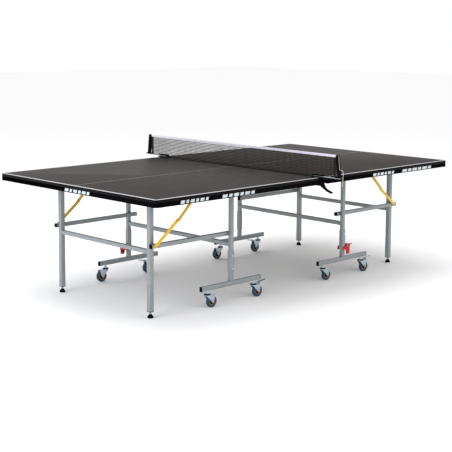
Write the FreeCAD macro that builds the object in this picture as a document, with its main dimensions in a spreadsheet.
import FreeCAD, Part
import Sketcher
import math
import os
import re

from FreeCAD import Placement, Rotation, Vector

# A folding ping pong table in its playing position, millimetres.
# +X runs along the table, +Y across it and +Z up. The origin is on the floor, under the middle
# of the net. The near half lies on the -X side and the far half on the +X side.
# On each half the inner legs stand on a wheeled trolley. Playing board, outer legs and side
# bars make a parallelogram with those inner legs, which folds the board upright.

document = FreeCAD.newDocument("PingPongTable")
sheet = document.addObject("Spreadsheet::Sheet", "Sizes")
subParts = []

sizes = (
    # playing surface
    ("table_length", 2740),
    ("table_width", 1525),
    ("table_height", 760),
    ("net_gap", 36),
    ("board_thick", 19),
    ("board_corner", 25),
    # steel apron under the board
    ("rail_height", 26),
    ("rail_width", 20),
    ("rail_wall", 1.5),
    ("rail_net_setback", 43),
    # legs, bars and their pivots
    ("pivot_height", 690),
    ("bar_height", 432),
    ("inner_leg_along", 535),
    ("inner_leg_across", 497.5),
    ("outer_leg_along", 1133),
    ("outer_leg_across", 435),
    ("bar_across", 467.5),
    ("tube", 25),
    ("outer_tube", 30),
    ("tube_wall", 1.5),
    ("bar_net_end", 37),
    ("bar_outer_end", 21),
    ("inner_cross_height", 368),
    ("outer_cross_height", 393),
    ("cross_bar_tall", 25),
    ("cap_thick", 4),
    ("pin_radius", 4),
    ("pin_bore", 4.05),
    ("loose_bore", 5.2),
    ("pin_proud", 1),
    ("head_radius", 7),
    ("head_thick", 3.5),
    # telescopic sleeve of the inner legs
    ("sleeve_tube", 30),
    ("sleeve_wall", 2),
    ("sleeve_low", 192),
    ("sleeve_high", 326),
    ("leg_joint", 255),
    ("bolt_low", 216),
    ("bolt_high", 297),
    ("bolt_radius", 3),
    # trolley base
    ("base_length", 502),
    ("base_width", 20),
    ("base_tall", 30),
    ("base_low", 108),
    ("caster_reach", 200),
    # casters
    ("wheel_radius", 37.5),
    ("wheel_width", 24),
    ("caster_trail", 34),
    ("fork_gap", 27),
    ("fork_thick", 2.5),
    ("crown_low", 78),
    ("crown_thick", 4),
    ("crown_radius", 21),
    ("race_radius", 19),
    ("race_thick", 9),
    ("stem_radius", 6),
    ("stem_bore", 6.05),
    ("stem_top", 128),
    ("tread_round", 4),
    ("cheek_front", 16),
    ("cheek_rear", 22),
    ("axle_boss", 9),
    ("bridge_start", 7),
    ("bridge_end", 45),
    # brake pedals
    ("pedal_width", 22),
    ("pedal_pin_radius", 2.5),
    ("pedal_pin_bore", 2.55),
    ("pedal_pin_along", 51),
    ("pedal_pin_height", 88),
    ("pedal_ear", 5),
    ("pedal_start", 44),
    ("pedal_bend", 60),
    ("pedal_end", 110),
    ("pedal_low", 83),
    ("pedal_rise", 18),
    # levelling feet
    ("foot_radius", 18),
    ("foot_chamfer", 2),
    ("foot_rim", 6),
    ("foot_shoulder", 15),
    ("foot_neck", 22),
    ("foot_neck_radius", 9),
    ("foot_tall", 24),
    ("foot_stem_radius", 5),
    ("foot_stem_bore", 5.05),
    ("foot_stem_top", 72),
    ("leg_bottom", 38),
    ("plug_tall", 24),
    # folding braces
    ("brace_width", 20),
    ("brace_thick", 4),
    ("brace_run", 300),
    ("brace_lower_long", 218),
    ("brace_upper_long", 178.2),
    ("brace_lower_across", 484),
    ("brace_upper_across", 490),
    ("rivet_inner", 1.5),
    ("rivet_outer", 2),
    # hinge brackets under the board
    ("bracket_plate", 2.5),
    ("bracket_long", 44),
    ("cheek_long", 32),
    ("brace_plate_wide", 30),
    ("brace_cheek_long", 24),
    ("bracket_play", 1),
    ("bracket_low", 676),
    # safety latch
    ("latch_thick", 5),
    ("latch_across", 520.5),
    ("latch_inner_across", 474.5),
    ("latch_pin_along", 564),
    ("latch_pin_height", 211),
    ("latch_web_tall", 26),
    ("latch_web_drop", 2),
    ("latch_back", 27),
    ("ear_thick", 10),
    ("ear_long", 26),
    ("ear_tall", 22),
    # net set
    ("net_top", 912.5),
    ("net_low", 765),
    ("net_thick", 3),
    ("net_half", 878),
    ("net_bottom_half", 684),
    ("net_step_half", 698),
    ("net_step_height", 783),
    ("net_end_spread", 10),
    ("tape_tall", 15),
    ("tape_thick", 5),
    ("post_across", 905),
    ("post_lean", 6),
    ("post_deep", 22),
    ("post_wide", 17),
    ("post_foot_deep", 26),
    ("post_foot_long", 44),
    ("post_foot_tall", 7),
    ("post_foot_middle", 906),
    ("post_sink", 1),
    ("arm_low", 764.2),
    ("arm_thick", 6),
    ("arm_wide", 20),
    ("arm_inner", 705),
    ("arm_outer", 916),
    ("clamp_inner", 700),
    ("clamp_outer", 781),
    ("clamp_wide", 60),
    ("saddle_thick", 3.9),
    ("cheek_trim", 6),
    ("housing_wide", 28),
    ("housing_tall", 9),
    ("cheek_thick", 2.6),
    ("cheek_space", 12.4),
    ("cheek_low", 706),
    ("lever_thick", 12),
    ("lever_pin_across", 752),
    ("lever_pin_height", 722),
    ("cord_radius", 1.25),
)


def fillSheet():
    for row, (alias, value) in enumerate(sizes, start=1):
        sheet.set("A%d" % row, alias)
        sheet.set("B%d" % row, str(value))
        sheet.setAlias("B%d" % row, alias)
    document.recompute()


def size(alias):
    return float(sheet.get(alias))


def bind(item, target, formula):
    # every word of a formula is an alias of the sheet
    linked = re.sub(r"[a-z][a-z_]+", lambda word: "Sizes." + word.group(0), str(formula))
    item.setExpression(target, linked)


def bindPlace(item, place):
    for letter, formula in zip("xyz", place):
        bind(item, "Placement.Base." + letter, formula)


def block(name, span, middle):
    item = document.addObject("Part::Box", name)
    for side, formula in zip(("Length", "Width", "Height"), span):
        bind(item, side, formula)
    bindPlace(item, ["(%s) - (%s) / 2" % (centre, length) for centre, length in zip(middle, span)])
    return item


def cut(name, base, tool):
    item = document.addObject("Part::Cut", name)
    item.Base = base
    item.Tool = tool
    return item


def joined(name, members):
    item = document.addObject("Part::Compound", name)
    item.Links = members
    return item


def squareTube(name, span, middle, wall, along):
    # a box with a bore of its own section less the wall, right through in one direction
    outside = block(name + "Outside", span, middle)
    hollow = ["(%s) - 2 * %s" % (length, wall) for length in span]
    hollow[along] = "(%s) + 2 * %s" % (span[along], wall)
    return cut(name, outside, block(name + "Bore", hollow, middle))


def rod(name, radius, length, middle, along):
    # a cylinder centred on a point, its axis along X, Y or Z
    item = document.addObject("Part::Cylinder", name)
    axis = [Vector(1, 0, 0), Vector(0, 1, 0), Vector(0, 0, 1)][along]
    item.Placement = Placement(Vector(), Rotation(Vector(0, 0, 1), axis))
    bind(item, "Radius", radius)
    bind(item, "Height", length)
    place = list(middle)
    place[along] = "(%s) - (%s) / 2" % (middle[along], length)
    bindPlace(item, place)
    return item


def drilled(name, base, bores):
    return cut(name, base, joined(name + "Bores", bores))


def outline(body, role, corners):
    # a closed outline in one of the body's own planes, each corner bound to the sheet
    sketch = body.newObject("Sketcher::SketchObject", body.Name + "Outline")
    plane = [feature for feature in body.Origin.OriginFeatures if feature.Role == role][0]
    sketch.AttachmentSupport = [(plane, "")]
    sketch.MapMode = "FlatFace"
    points = [Vector(value(across), value(up), 0) for across, up in corners]
    count = len(points)
    for index, point in enumerate(points):
        sketch.addGeometry(Part.LineSegment(point, points[(index + 1) % count]), False)
    for index in range(count):
        sketch.addConstraint(Sketcher.Constraint("Coincident", index, 2, (index + 1) % count, 1))
    for index, (across, up) in enumerate(corners):
        for kind, formula, amount in (("DistanceX", across, points[index].x),
                                      ("DistanceY", up, points[index].y)):
            number = sketch.addConstraint(Sketcher.Constraint(kind, -1, 1, index, 1, amount))
            bind(sketch, "Constraints[%d]" % number, formula)
    return sketch


def value(formula):
    # the present value of a formula whose words are aliases of the sheet
    probe = document.addObject("App::FeaturePython", "Probe")
    probe.addProperty("App::PropertyFloat", "Amount")
    bind(probe, "Amount", formula)
    probe.recompute()
    amount = probe.Amount
    document.removeObject(probe.Name)
    return amount


def padded(name, role, corners, thick):
    # a flat piece of even thickness, centred on one of its body's own planes
    body = document.addObject("PartDesign::Body", name)
    sketch = outline(body, role, corners)
    pad = body.newObject("PartDesign::Pad", name + "Pad")
    pad.Profile = sketch
    pad.Midplane = True
    bind(pad, "Length", thick)
    return body


def turned(name, corners):
    # a round piece: an outline of (radius, height) turned about its body's own Z axis
    body = document.addObject("PartDesign::Body", name)
    sketch = outline(body, "XZ_Plane", corners)
    turn = body.newObject("PartDesign::Revolution", name + "Turn")
    turn.Profile = sketch
    turn.ReferenceAxis = (sketch, ["V_Axis"])
    turn.Angle = 360
    return body


def keep(item, label):
    item.Label = label
    subParts.append(item)
    return item


def mirrored(sign, formula):
    return "%d * (%s)" % (sign, formula)


# ---- the board and what is fixed under it ----

def tabletop(half, way):
    # the board's two outer corners are rounded, the two at the net are square
    near = "net_gap / 2"
    far = "table_length / 2"
    corners = ((near, "-table_width / 2"), (far, "-table_width / 2"),
               (far, "table_width / 2"), (near, "table_width / 2"))
    body = padded(half + "Board", "XY_Plane", corners, "board_thick")
    document.recompute()
    slab = body.Tip
    ends = [index for index, edge in enumerate(slab.Shape.Edges, start=1) if outerUpright(edge)]
    fillet = body.newObject("PartDesign::Fillet", half + "BoardCorners")
    fillet.Base = (slab, ["Edge%d" % index for index in ends])
    bind(fillet, "Radius", "board_corner")
    body.Placement.Rotation = Rotation(Vector(0, 0, 1), 0 if way > 0 else 180)
    bind(body, "Placement.Base.z", "table_height - board_thick / 2")
    keep(body, half + "_tabletop")


def outerUpright(edge):
    upright = abs(edge.tangentAt(edge.FirstParameter).z) > 0.99
    return upright and edge.CenterOfMass.x > size("table_length") / 4


def apronRails(half, way):
    # four steel tubes under the board's rim, with a solid rounded corner at each outer end
    middle = "table_height - board_thick - rail_height / 2"
    outer = "table_length / 2"
    inner = "net_gap / 2 + rail_net_setback"
    across = "table_width / 2 - rail_width / 2"
    length = "%s - board_corner - (%s)" % (outer, inner)
    centre = "(%s - board_corner + %s) / 2" % (outer, inner)
    rails = []
    for name, side in (("Right", -1), ("Left", 1)):
        rails.append(squareTube(
            half + name + "Rail", (length, "rail_width", "rail_height"),
            (mirrored(way, centre), mirrored(side, across), middle), "rail_wall", 0))
        rails.append(apronCorner(half + name + "RailCorner", way, side))
    for name, along, between in (
            ("Outer", outer + " - rail_width / 2", "table_width - 2 * board_corner"),
            ("Net", inner + " + rail_width / 2", "table_width - 2 * rail_width")):
        rails.append(squareTube(
            half + name + "Rail", ("rail_width", between, "rail_height"),
            (mirrored(way, along), "0", middle), "rail_wall", 1))
    keep(joined(half + "Apron", rails), half + "_apron_rails")


def apronCorner(name, way, side):
    # a quarter of a round bar as wide as the board's rounded corner
    corner = document.addObject("Part::Cylinder", name)
    bind(corner, "Radius", "board_corner")
    bind(corner, "Height", "rail_height")
    corner.Angle = 90
    quarter = {(1, 1): 0, (-1, 1): 90, (-1, -1): 180, (1, -1): 270}[(way, side)]
    corner.Placement.Rotation = Rotation(Vector(0, 0, 1), quarter)
    bindPlace(corner, (mirrored(way, "table_length / 2 - board_corner"),
                       mirrored(side, "table_width / 2 - board_corner"),
                       "table_height - board_thick - rail_height"))
    return corner


def clevis(name, along, across, gap):
    # a plate under the board with two cheeks, one on each side of a leg
    top = "table_height - board_thick"
    side = "(%s) / 2 + bracket_play + bracket_plate / 2" % gap
    wide = "(%s) + 2 * bracket_play + 2 * bracket_plate" % gap
    tall = "%s - bracket_plate - bracket_low" % top
    pieces = [block(name + "Plate", ("bracket_long", wide, "bracket_plate"),
                    (along, across, "%s - bracket_plate / 2" % top))]
    for letter, sign in (("A", -1), ("B", 1)):
        pieces.append(drilled(
            name + "Cheek" + letter,
            block(name + "CheekBlank" + letter, ("cheek_long", "bracket_plate", tall),
                  (along, "%s + %d * (%s)" % (across, sign, side), "bracket_low + (%s) / 2" % tall)),
            [rod(name + "CheekBore" + letter, "pin_radius", wide, (along, across, "pivot_height"), 1)]))
    return pieces


def hingeBrackets(half, way):
    pieces = []
    top = "table_height - board_thick"
    for name, side in (("Right", -1), ("Left", 1)):
        pieces += clevis(half + name + "Inner", mirrored(way, "inner_leg_along"),
                         mirrored(side, "inner_leg_across"), "tube")
        pieces += clevis(half + name + "Outer", mirrored(way, "outer_leg_along"),
                         mirrored(side, "outer_leg_across"), "outer_tube")
        along = mirrored(way, "outer_leg_along - brace_run")
        cheek = "brace_upper_across + brace_thick / 2 + bracket_play + bracket_plate / 2"
        tall = "%s - bracket_plate - bracket_low" % top
        pieces.append(block(
            half + name + "BracePlate", ("bracket_long", "brace_plate_wide", "bracket_plate"),
            (along, mirrored(side, cheek), "%s - bracket_plate / 2" % top)))
        pieces.append(drilled(
            half + name + "BraceCheek",
            block(half + name + "BraceCheekBlank", ("brace_cheek_long", "bracket_plate", tall),
                  (along, mirrored(side, cheek), "bracket_low + (%s) / 2" % tall)),
            [rod(half + name + "BraceCheekBore", "pin_radius", "4 * bracket_plate",
                 (along, mirrored(side, cheek), "pivot_height"), 1)]))
    keep(joined(half + "Brackets", pieces), half + "_hinge_brackets")


def headedPin(name, along, height, start, end, way):
    # a pin across the table from start to end, with its head past the end
    shank = rod(name + "Shank", "pin_radius", "%d * ((%s) - (%s))" % (way, end, start),
                (along, "((%s) + (%s)) / 2" % (start, end), height), 1)
    head = rod(name + "Head", "head_radius", "head_thick",
               (along, "(%s) + %d * head_thick / 2" % (end, way), height), 1)
    fused = document.addObject("Part::Fuse", name)
    fused.Base = shank
    fused.Tool = head
    return fused


def hingePins(half, way):
    pins = []
    for name, side in (("Right", -1), ("Left", 1)):
        reach = "tube / 2 + bracket_play + bracket_plate"
        pins.append(headedPin(
            half + name + "InnerPin", mirrored(way, "inner_leg_along"), "pivot_height",
            mirrored(side, "inner_leg_across - (%s)" % reach),
            mirrored(side, "inner_leg_across + " + reach), side))
        reach = "outer_tube / 2 + bracket_play + bracket_plate"
        pins.append(headedPin(
            half + name + "OuterPin", mirrored(way, "outer_leg_along"), "pivot_height",
            mirrored(side, "outer_leg_across + " + reach),
            mirrored(side, "outer_leg_across - (%s)" % reach), -side))
        pins.append(headedPin(
            half + name + "BracePin", mirrored(way, "outer_leg_along - brace_run"), "pivot_height",
            mirrored(side, "brace_upper_across - brace_thick / 2"),
            mirrored(side, "brace_upper_across + brace_thick / 2 + bracket_play + bracket_plate"),
            side))
    keep(joined(half + "Pins", pins), half + "_hinge_pins")


# ---- the trolley: inner legs, sleeves, cross bar and bases ----

def trolleyFrame(half, way):
    along = mirrored(way, "inner_leg_along")
    pieces = []
    for name, side in (("Right", -1), ("Left", 1)):
        label = half + name
        across = mirrored(side, "inner_leg_across")
        reach = "sleeve_tube"
        bolts = [rod(label + "BoltBore%d" % number, "bolt_radius", reach, (along, across, height), 1)
                 for number, height in enumerate(("bolt_low", "bolt_high"))]
        lower = squareTube(label + "LowerTube", ("tube", "tube", "leg_joint - base_low - base_tall"),
                           (along, across, "(leg_joint + base_low + base_tall) / 2"), "tube_wall", 2)
        pieces.append(cut(label + "LowerLeg", lower, bolts[0]))
        top = "pivot_height + tube / 2"
        upper = squareTube(label + "UpperTube", ("tube", "tube", top + " - leg_joint"),
                           (along, across, "(%s + leg_joint) / 2" % top), "tube_wall", 2)
        hinge = rod(label + "HingeBore", "pin_bore", reach, (along, across, "pivot_height"), 1)
        pieces.append(drilled(label + "UpperLeg", upper, [bolts[1], hinge]))
        stud = "inner_leg_across - bar_across + 3 * pin_proud"
        pieces.append(rod(label + "BarStud", "pin_radius", stud,
                          (along, mirrored(side, "inner_leg_across - tube / 2 - (%s) / 2" % stud),
                           "bar_height"), 1))
        pieces.append(trolleyBase(label, way, side))
    pieces.append(squareTube(half + "InnerCrossBar",
                             ("tube", "2 * inner_leg_across - tube", "cross_bar_tall"),
                             (along, "0", "inner_cross_height"), "tube_wall", 1))
    pieces.append(latchEar(half, way))
    keep(joined(half + "Trolley", pieces), half + "_trolley_frame")


def trolleyBase(label, way, side):
    middle = "base_low + base_tall / 2"
    across = mirrored(side, "inner_leg_across")
    base = squareTube(label + "BaseTube", ("base_length", "base_width", "base_tall"),
                      (mirrored(way, "inner_leg_along"), across, middle), "tube_wall", 0)
    bores = [rod(label + "StemBore%d" % number, "stem_bore", "base_tall",
                 (mirrored(way, "inner_leg_along + %d * caster_reach" % reach), across,
                  "base_low - tube_wall"), 2)
             for number, reach in enumerate((-1, 1))]
    return drilled(label + "Base", base, bores)


def latchSide(way):
    # the near half has its latch on the left leg, the far half on the right leg
    return -way


def latchEar(half, way):
    # an ear welded to the sleeve's face away from the net, with a pin through it for the latch
    side = latchSide(way)
    ear = block(half + "EarBlank", ("ear_long", "ear_thick", "ear_tall"),
                (mirrored(way, "inner_leg_along + sleeve_tube / 2 + ear_long / 2"),
                 mirrored(side, "inner_leg_across"), "latch_pin_height"))
    pin = rod(half + "EarPin", "pin_radius",
              "latch_across - latch_inner_across + latch_thick + 2 * pin_proud",
              (mirrored(way, "latch_pin_along"),
               mirrored(side, "(latch_across + latch_inner_across) / 2"), "latch_pin_height"), 1)
    fused = document.addObject("Part::Fuse", half + "Ear")
    fused.Base = ear
    fused.Tool = pin
    return fused


def trolleySleeves(half, way):
    along = mirrored(way, "inner_leg_along")
    pieces = []
    for name, side in (("Right", -1), ("Left", 1)):
        label = half + name
        across = mirrored(side, "inner_leg_across")
        sleeve = squareTube(label + "SleeveTube",
                            ("sleeve_tube", "sleeve_tube", "sleeve_high - sleeve_low"),
                            (along, across, "(sleeve_high + sleeve_low) / 2"), "sleeve_wall", 2)
        bores = [rod(label + "SleeveBore%d" % number, "bolt_radius", "2 * sleeve_tube",
                     (along, across, height), 1)
                 for number, height in enumerate(("bolt_low", "bolt_high"))]
        pieces.append(drilled(label + "Sleeve", sleeve, bores))
    keep(joined(half + "Sleeves", pieces), half + "_leg_sleeves")


def sleeveBolts(half, way):
    along = mirrored(way, "inner_leg_along")
    bolts = []
    for name, side in (("Right", -1), ("Left", 1)):
        for number, height in enumerate(("bolt_low", "bolt_high")):
            label = half + name + "Bolt%d" % number
            shank = rod(label + "Shank", "bolt_radius", "sleeve_tube",
                        (along, mirrored(side, "inner_leg_across"), height), 1)
            head = rod(label + "Head", "head_radius - 1", "head_thick",
                       (along, mirrored(side, "inner_leg_across + sleeve_tube / 2 + head_thick / 2"),
                        height), 1)
            fused = document.addObject("Part::Fuse", label)
            fused.Base = shank
            fused.Tool = head
            bolts.append(fused)
    keep(joined(half + "SleeveBolts", bolts), half + "_sleeve_bolts")


def baseCaps(half, way):
    caps = []
    for name, side in (("Right", -1), ("Left", 1)):
        for number, end in enumerate((-1, 1)):
            along = "inner_leg_along + %d * (base_length + cap_thick) / 2" % end
            caps.append(block(
                half + name + "BaseCap%d" % number, ("cap_thick", "base_width", "base_tall"),
                (mirrored(way, along), mirrored(side, "inner_leg_across"),
                 "base_low + base_tall / 2")))
    keep(joined(half + "BaseCaps", caps), half + "_base_end_caps")


# ---- outer legs, side bars and braces ----

def outerLegs(half, way):
    along = mirrored(way, "outer_leg_along")
    top = "pivot_height + outer_tube / 2"
    pieces = []
    for name, side in (("Right", -1), ("Left", 1)):
        label = half + name
        across = mirrored(side, "outer_leg_across")
        leg = squareTube(label + "OuterTube", ("outer_tube", "outer_tube", top + " - leg_bottom"),
                         (along, across, "(%s + leg_bottom) / 2" % top), "tube_wall", 2)
        bores = [rod(label + "TopBore", "pin_bore", "2 * outer_tube", (along, across, "pivot_height"), 1),
                 rod(label + "BarBore", "loose_bore", "2 * outer_tube", (along, across, "bar_height"), 1)]
        pieces.append(drilled(label + "OuterLeg", leg, bores))
        inside = "outer_tube - 2 * tube_wall"
        plug = block(label + "PlugBlank", (inside, inside, "plug_tall"),
                     (along, across, "leg_bottom + plug_tall / 2"))
        pieces.append(drilled(label + "Plug", plug, [
            rod(label + "PlugBore", "foot_stem_bore", "2 * plug_tall",
                (along, across, "leg_bottom + plug_tall / 2"), 2)]))
    pieces.append(squareTube(half + "OuterCrossBar",
                             ("tube", "2 * outer_leg_across - outer_tube", "cross_bar_tall"),
                             (along, "0", "outer_cross_height"), "tube_wall", 1))
    keep(joined(half + "OuterLegs", pieces), half + "_outer_legs")


def levellingFoot(half, way, name, side):
    corners = (("0", "0"), ("foot_radius - foot_chamfer", "0"), ("foot_radius", "foot_chamfer"),
               ("foot_radius", "foot_rim"), ("foot_radius - foot_chamfer", "foot_shoulder"),
               ("foot_neck_radius", "foot_neck"), ("foot_stem_radius", "foot_tall"),
               ("foot_stem_radius", "foot_stem_top"), ("0", "foot_stem_top"))
    foot = turned(half + name + "Foot", corners)
    bind(foot, "Placement.Base.x", mirrored(way, "outer_leg_along"))
    bind(foot, "Placement.Base.y", mirrored(side, "outer_leg_across"))
    keep(foot, "%s_%s_foot" % (half, name.lower()))


def sideBars(half, way):
    inner = "inner_leg_along - bar_net_end"
    outer = "outer_leg_along + bar_outer_end"
    length = "%s - (%s)" % (outer, inner)
    centre = "(%s + %s) / 2" % (outer, inner)
    pieces = []
    for name, side in (("Right", -1), ("Left", 1)):
        label = half + name
        across = mirrored(side, "bar_across")
        bar = squareTube(label + "BarTube", (length, "tube", "tube"),
                         (mirrored(way, centre), across, "bar_height"), "tube_wall", 0)
        bore = rod(label + "BarInnerBore", "pin_bore", "2 * tube",
                   (mirrored(way, "inner_leg_along"), across, "bar_height"), 1)
        pieces.append(cut(label + "Bar", bar, bore))
        along = mirrored(way, "outer_leg_along")
        inward = "bar_across - tube / 2 - outer_leg_across + outer_tube / 2 - pin_proud"
        pieces.append(rod(label + "LegStud", "pin_radius", inward,
                          (along, mirrored(side, "bar_across - tube / 2 - (%s) / 2" % inward),
                           "bar_height"), 1))
        outward = "brace_lower_across + brace_thick / 2 + pin_proud - bar_across - tube / 2"
        pieces.append(rod(label + "BraceStud", "pin_radius", outward,
                          (along, mirrored(side, "bar_across + tube / 2 + (%s) / 2" % outward),
                           "bar_height"), 1))
    keep(joined(half + "SideBars", pieces), half + "_side_bars")


def sideBarCaps(half, way):
    inner = "inner_leg_along - bar_net_end - cap_thick / 2"
    outer = "outer_leg_along + bar_outer_end + cap_thick / 2"
    caps = []
    for name, side in (("Right", -1), ("Left", 1)):
        for number, along in enumerate((inner, outer)):
            caps.append(block(half + name + "BarCap%d" % number, ("cap_thick", "tube", "tube"),
                              (mirrored(way, along), mirrored(side, "bar_across"), "bar_height")))
    keep(joined(half + "BarCaps", caps), half + "_side_bar_caps")


def braceAngles():
    # the two links and the line between their outer pivots make a triangle
    run = size("brace_run")
    rise = size("pivot_height") - size("bar_height")
    lower = size("brace_lower_long")
    upper = size("brace_upper_long")
    reach = math.hypot(run, rise)
    atBar = math.acos((lower ** 2 + reach ** 2 - upper ** 2) / (2 * lower * reach))
    slope = math.atan2(rise, run)
    lowerAngle = slope - atBar
    knee = Vector(lower * math.cos(lowerAngle), 0, lower * math.sin(lowerAngle))
    upperAngle = math.atan2(rise - knee.z, run - knee.x)
    return math.degrees(lowerAngle), math.degrees(upperAngle), knee


def link(name, long, pivot, knuckle, boss, outward):
    # a flat bar with rounded ends, lying along X from its foot: one end is bored for its pivot,
    # the other has a rivet head at the knuckle, on the side that faces out of the table
    half = "brace_width / 2"
    bar = block(name + "Flat", (long, "brace_thick", "brace_width"), ("(%s) / 2" % long, "0", "0"))
    first = rod(name + "FirstEnd", half, "brace_thick", ("0", "0", "0"), 1)
    second = rod(name + "SecondEnd", half, "brace_thick", (long, "0", "0"), 1)
    head = rod(name + "Rivet", "head_radius", boss,
               (knuckle, "%d * (brace_thick + %s) / 2" % (outward, boss), "0"), 1)
    fused = document.addObject("Part::MultiFuse", name + "Blank")
    fused.Shapes = [bar, first, second, head]
    return cut(name, fused, rod(name + "Hole", "pin_bore", "3 * brace_thick", (pivot, "0", "0"), 1))


def placeLink(part, way, side, along, across, height, angle):
    # the link rises towards the net
    turn = Rotation(Vector(0, 0, 1), 180 if way > 0 else 0)
    tilt = Rotation(Vector(0, 1, 0), -angle)
    part.Placement = Placement(Vector(way * along, side * across, height), turn.multiply(tilt))


def braceLinks(half, way):
    lowerAngle, upperAngle, knee = braceAngles()
    foot = size("outer_leg_along")
    lowers = []
    uppers = []
    for name, side in (("Right", -1), ("Left", 1)):
        outward = -way * side
        lower = link(half + name + "LowerLink", "brace_lower_long", "0", "brace_lower_long",
                     "rivet_inner", outward)
        placeLink(lower, way, side, foot, size("brace_lower_across"), size("bar_height"), lowerAngle)
        lowers.append(lower)
        upper = link(half + name + "UpperLink", "brace_upper_long", "brace_upper_long", "0",
                     "rivet_outer", outward)
        placeLink(upper, way, side, foot - knee.x, size("brace_upper_across"),
                  size("bar_height") + knee.z, upperAngle)
        uppers.append(upper)
    keep(joined(half + "LowerLinks", lowers), half + "_brace_lower_links")
    keep(joined(half + "UpperLinks", uppers), half + "_brace_upper_links")


# ---- casters: fork, wheel and brake pedal ----

def casterSpots():
    # name, side, place along the base (1 is the outer end) and the way the wheel trails
    spots = []
    for name, side in (("right", -1), ("left", 1)):
        for end, reach in (("outer", 1), ("net", -1)):
            spots.append((name, side, end, reach, -side))
    return spots


def setCaster(item, way, side, reach, trail):
    item.Placement.Rotation = Rotation(Vector(0, 0, 1), 0 if trail > 0 else 180)
    bind(item, "Placement.Base.x", mirrored(way, "inner_leg_along + %d * caster_reach" % reach))
    bind(item, "Placement.Base.y", mirrored(side, "inner_leg_across"))


def forkCheek(label, letter, sign, braked):
    # a cheek beside the wheel; on a braked caster it has an ear for the pedal's pin
    corners = [("-cheek_front", "crown_low"),
               ("caster_trail - axle_boss", "wheel_radius"),
               ("caster_trail - axle_boss / 2", "wheel_radius - axle_boss"),
               ("caster_trail + axle_boss / 2", "wheel_radius - axle_boss"),
               ("caster_trail + axle_boss", "wheel_radius"),
               ("caster_trail + cheek_rear", "crown_low")]
    bores = [rod(label + "AxleBore" + letter, "pin_radius", "2 * fork_gap",
                 ("caster_trail", "0", "wheel_radius"), 1)]
    if braked:
        ear = "pedal_pin_height + pedal_ear"
        corners += [("pedal_pin_along + pedal_ear", ear), ("pedal_pin_along - pedal_ear", ear),
                    ("pedal_pin_along - pedal_ear", "crown_low")]
        bores.append(rod(label + "PedalBore" + letter, "pedal_pin_radius", "2 * fork_gap",
                         ("pedal_pin_along", "0", "pedal_pin_height"), 1))
    cheek = padded(label + "Cheek" + letter, "XZ_Plane", corners, "fork_thick")
    bind(cheek, "Placement.Base.y", mirrored(sign, "(fork_gap + fork_thick) / 2"))
    return drilled(label + "CheekPart" + letter, cheek, bores)


def casterFork(label, braked):
    # built about its swivel axis, with the wheel trailing towards +X
    pieces = [forkCheek(label, "A", -1, braked), forkCheek(label, "B", 1, braked)]
    across = "fork_gap + 2 * fork_thick"
    pieces.append(rod(label + "Axle", "pin_radius", across + " + 2 * fork_thick",
                      ("caster_trail", "0", "wheel_radius"), 1))
    if braked:
        pieces.append(rod(label + "PedalPin", "pedal_pin_radius", across,
                          ("pedal_pin_along", "0", "pedal_pin_height"), 1))
    top = "crown_low + crown_thick + race_thick"
    crown = turned(label + "Crown", (
        ("0", "crown_low"), ("crown_radius", "crown_low"),
        ("crown_radius", "crown_low + crown_thick"), ("race_radius", "crown_low + crown_thick"),
        ("race_radius", "crown_low + crown_thick + 2 * race_thick / 3"),
        ("3 * race_radius / 4", top), ("stem_radius", top), ("stem_radius", "stem_top"),
        ("0", "stem_top")))
    bridge = block(label + "Bridge", ("bridge_end - bridge_start", across, "crown_thick"),
                   ("(bridge_end + bridge_start) / 2", "0", "crown_low + crown_thick / 2"))
    pressing = document.addObject("Part::Fuse", label + "Pressing")
    pressing.Base = crown
    pressing.Tool = bridge
    return joined(label, pieces + [pressing])


def casterWheel(label):
    # turned about Z, then laid with its axis across the table
    half = "wheel_width / 2"
    corners = (("pin_bore", "-(%s)" % half), ("wheel_radius - tread_round", "-(%s)" % half),
               ("wheel_radius", "tread_round - " + half), ("wheel_radius", "%s - tread_round" % half),
               ("wheel_radius - tread_round", half), ("pin_bore", half))
    return turned(label, corners)


def brakePedal(label):
    # a bent plate behind the wheel, on a pin between the fork's ears
    corners = (("pedal_start", "pedal_low"), ("pedal_start", "pedal_low + pedal_rise / 2"),
               ("pedal_bend", "pedal_low + 2 * pedal_rise / 3"),
               ("pedal_end - tread_round", "pedal_low + pedal_rise"),
               ("pedal_end", "pedal_low + 2 * pedal_rise / 3"),
               ("pedal_bend + wheel_width / 2", "pedal_low + pedal_rise / 5"))
    plate = padded(label + "Plate", "XZ_Plane", corners, "pedal_width")
    return drilled(label, plate, [rod(label + "Bore", "pedal_pin_bore", "2 * pedal_width",
                                      ("pedal_pin_along", "0", "pedal_pin_height"), 1)])


def casters(half, way):
    for name, side, end, reach, trail in casterSpots():
        label = half + name.title() + end.title()
        # the brake is on the caster that is further along +X
        braked = reach * way > 0
        fork = casterFork(label + "Fork", braked)
        setCaster(fork, way, side, reach, trail)
        keep(fork, "%s_%s_%s_caster_fork" % (half, name, end))
        wheel = casterWheel(label + "Wheel")
        wheel.Placement.Rotation = Rotation(Vector(0, 0, 1), Vector(0, 1, 0))
        along = "%d * (inner_leg_along + %d * caster_reach) + %d * caster_trail" % (way, reach, trail)
        bindPlace(wheel, (along, mirrored(side, "inner_leg_across"), "wheel_radius"))
        keep(wheel, "%s_%s_%s_wheel" % (half, name, end))
        if braked:
            pedal = brakePedal(label + "Pedal")
            setCaster(pedal, way, side, reach, trail)
            keep(pedal, "%s_%s_brake_pedal" % (half, name))


# ---- safety latch on one inner leg of each half ----

def around(along, height, offsets):
    # an outline's corners, each given as its distances from a pin
    return [("%s + (%s)" % (along, right), "%s + (%s)" % (height, up)) for right, up in offsets]


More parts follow.
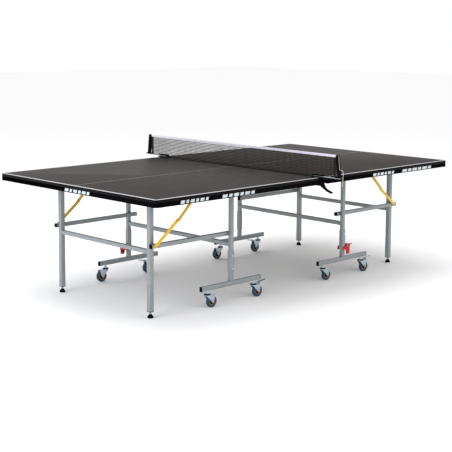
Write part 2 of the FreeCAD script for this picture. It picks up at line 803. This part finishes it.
def safetyLatch(half, way):
    # a saddle round the leg, drawn for the far half: two plates joined by a web behind the leg,
    # with a hook towards the net and a thumb tab away from it
    along = "latch_pin_along"
    height = "latch_pin_height"
    outer = around(along, height, (
        (-48, -22), (-46, -8), (-26, -6), (-10, 14), (45, 14), (48, 8), (27, 6), (20, -54),
        (-8, -56), (-16, -24)))
    inner = around(along, height, (
        (-50, -26), (-44, 3), (-24, -2), (-8, 12), ("latch_back", 12), ("latch_back", -18),
        (-18, -22)))
    outerPlate = padded(half + "LatchOuter", "XZ_Plane", outer, "latch_thick")
    bind(outerPlate, "Placement.Base.y", "-latch_across")
    innerPlate = padded(half + "LatchInner", "XZ_Plane", inner, "latch_thick")
    bind(innerPlate, "Placement.Base.y", "-latch_inner_across")
    middle = "-(latch_across + latch_inner_across) / 2"
    web = block(half + "LatchWeb",
                ("latch_thick", "latch_across - latch_inner_across", "latch_web_tall"),
                (along + " + latch_back - latch_thick / 2", middle,
                 height + " - latch_web_drop"))
    saddle = document.addObject("Part::MultiFuse", half + "LatchSaddle")
    saddle.Shapes = [outerPlate, innerPlate, web]
    latch = cut(half + "Latch", saddle, rod(
        half + "LatchBore", "pin_bore", "2 * (latch_across - latch_inner_across)",
        (along, middle, height), 1))
    if way < 0:
        latch.Placement = Placement(Vector(), Rotation(Vector(0, 0, 1), 180))
    keep(latch, half + "_safety_latch")


# ---- the net set, which lifts off the boards ----

def netSet():
    arms = []
    posts = []
    clamps = []
    for name, side in (("Right", -1), ("Left", 1)):
        arms.append(netArm(name, side))
        posts += netPost(name, side)
        clamps += netClamp(name, side)
    keep(joined("NetArms", arms), "net_arms")
    keep(joined("NetPosts", posts), "net_posts")
    keep(joined("NetClamps", clamps), "net_clamps")


def netArm(name, side):
    return block(name + "Arm", ("arm_wide", "arm_outer - arm_inner", "arm_thick"),
                 ("0", mirrored(side, "(arm_outer + arm_inner) / 2"), "arm_low + arm_thick / 2"))


def netPost(name, side):
    # the net's pull leans each post inwards
    top = "arm_low + arm_thick"
    foot = block(name + "PostFoot", ("post_foot_deep", "post_foot_long", "post_foot_tall"),
                 ("0", mirrored(side, "post_foot_middle"),
                  top + " + post_foot_tall / 2"))
    post = document.addObject("Part::Box", name + "Post")
    bind(post, "Length", "post_deep")
    bind(post, "Width", "post_wide")
    low = "%s + post_foot_tall - post_sink" % top
    bind(post, "Height", "net_top - (%s)" % low)
    lean = Rotation(Vector(1, 0, 0), side * size("post_lean"))
    across = side * size("post_across")
    base = Vector(0, across, value(low))
    corner = Vector(-size("post_deep") / 2, -size("post_wide") / 2, 0)
    post.Placement = Placement(base.add(lean.multVec(corner)), lean)
    fused = document.addObject("Part::Fuse", name + "PostPart")
    fused.Base = post
    fused.Tool = foot
    return [fused]


def netClamp(name, side):
    middle = mirrored(side, "(clamp_inner + clamp_outer) / 2")
    long = "clamp_outer - clamp_inner"
    top = "arm_low + arm_thick"
    under = "arm_low - saddle_thick"
    saddle = block(name + "Saddle", ("clamp_wide", long, "saddle_thick"),
                   ("0", middle, "arm_low - saddle_thick / 2"))
    housing = block(name + "Housing", ("housing_wide", long, "housing_tall"),
                    ("0", middle, "%s + housing_tall / 2" % top))
    pieces = [saddle, housing]
    for letter, sign in (("A", -1), ("B", 1)):
        cheek = block(name + "CheekBlank" + letter,
                      ("cheek_thick", long + " - 2 * cheek_trim", under + " - cheek_low"),
                      (mirrored(sign, "(cheek_space + cheek_thick) / 2"),
                       middle, "(%s + cheek_low) / 2" % under))
        pieces.append(drilled(name + "Cheek" + letter, cheek, [
            rod(name + "CheekBore" + letter, "pin_radius", "4 * cheek_space",
                ("0", mirrored(side, "lever_pin_across"), "lever_pin_height"), 0)]))
    pieces.append(rod(name + "LeverPin", "pin_radius", "cheek_space + 2 * cheek_thick",
                      ("0", mirrored(side, "lever_pin_across"), "lever_pin_height"), 0))
    return pieces


def netLever(name, side):
    # drawn on the left side, looking along -X: a cam head and a handle that droops outwards
    across = "lever_pin_across"
    height = "lever_pin_height"
    corners = around(across, height, (
        (-34, 1), (-30, 10), (12, 11), (30, 3), (37, -12), (50, -27), (70, -37), (98, -46),
        (101, -53), (95, -56), (58, -46), (22, -27), (-6, -9)))
    plate = padded(name + "LeverPlate", "YZ_Plane", corners, "lever_thick")
    lever = drilled(name + "Lever", plate, [
        rod(name + "LeverBore", "pin_bore", "2 * lever_thick", ("0", across, height), 0)])
    if side < 0:
        lever.Placement = Placement(Vector(), Rotation(Vector(0, 0, 1), 180))
    keep(lever, "net_%s_clamp_lever" % name.lower())


def net():
    # a mesh panel, its lower corners cut to clear the clamps, and the tape along its top
    tape = "net_top - tape_tall"
    wide = "net_half + net_end_spread"
    right = (("net_bottom_half", "net_low"), ("net_step_half", "net_step_height"),
             (wide, "net_step_height"), ("net_half", tape))
    left = [("-(%s)" % across, up) for across, up in reversed(right)]
    mesh = padded("NetMesh", "YZ_Plane", list(right) + left, "net_thick")
    band = block("NetTape", ("tape_thick", "2 * net_half", "tape_tall"),
                 ("0", "0", "net_top - tape_tall / 2"))
    keep(joined("Net", [mesh, band]), "net")


# The loose end of the cord that pulls the net tight, from the right post's outer face.
cordRoute = (
    (0, -909, 819), (0, -923, 823), (0, -936, 813), (0, -938, 793),
    (0, -935, 770), (0, -936, 747), (0, -933, 724),
)


def routeWire(points):
    # straight runs joined by tangent arcs, each as large as its two runs allow
    points = [Vector(*point) for point in points]
    edges = []
    start = points[0]
    for before, corner, after in zip(points, points[1:], points[2:]):
        backward = (before - corner).normalize()
        forward = (after - corner).normalize()
        turn = math.pi - backward.getAngle(forward)
        reach = 0.45 * min((before - corner).Length, (after - corner).Length)
        radius = reach / math.tan(turn / 2)
        print("cord turn %.0f degrees, radius %.1f mm" % (math.degrees(turn), radius))
        bisector = (backward + forward).normalize()
        middle = corner + bisector * (radius / math.cos(turn / 2) - radius)
        arcStart = corner + backward * reach
        arcEnd = corner + forward * reach
        edges.append(Part.LineSegment(start, arcStart).toShape())
        edges.append(Part.Arc(arcStart, middle, arcEnd).toShape())
        start = arcEnd
    edges.append(Part.LineSegment(start, points[-1]).toShape())
    return Part.Wire(edges)


def tensionCord():
    path = routeWire(cordRoute)
    radius = size("cord_radius")
    direction = Vector(*cordRoute[1]) - Vector(*cordRoute[0])
    ring = Part.Wire(Part.makeCircle(radius, Vector(*cordRoute[0]), direction))
    cord = document.addObject("Part::Feature", "TensionCord")
    cord.Shape = path.makePipeShell([ring], True, False)
    ideal = math.pi * radius ** 2 * path.Length
    print("cord length %.1f mm, volume %.1f of %.1f" % (path.Length, cord.Shape.Volume, ideal))
    keep(cord, "net_tension_cord")


def buildHalf(half, way):
    tabletop(half, way)
    apronRails(half, way)
    hingeBrackets(half, way)
    hingePins(half, way)
    trolleyFrame(half, way)
    trolleySleeves(half, way)
    sleeveBolts(half, way)
    baseCaps(half, way)
    outerLegs(half, way)
    for name, side in (("Right", -1), ("Left", 1)):
        levellingFoot(half, way, name, side)
    sideBars(half, way)
    sideBarCaps(half, way)
    braceLinks(half, way)
    casters(half, way)
    safetyLatch(half, way)


def checkAll():
    for item in document.Objects:
        if set(item.State) & {"Invalid", "Error"}:
            raise RuntimeError("%s failed: %s" % (item.Name, item.State))
    for item in subParts:
        if item.Shape.isNull() or not item.Shape.isValid() or item.Shape.Volume <= 0:
            raise RuntimeError("%s has no valid shape" % item.Label)


def writeAll():
    os.makedirs("parts", exist_ok=True)
    for item in subParts:
        item.Shape.exportStep("parts/%s.step" % item.Label)
    print("%d sub-parts written" % len(subParts))


fillSheet()
buildHalf("near", -1)
buildHalf("far", 1)
netSet()
netLever("Right", -1)
netLever("Left", 1)
net()
tensionCord()
document.recompute()
checkAll()
writeAll()
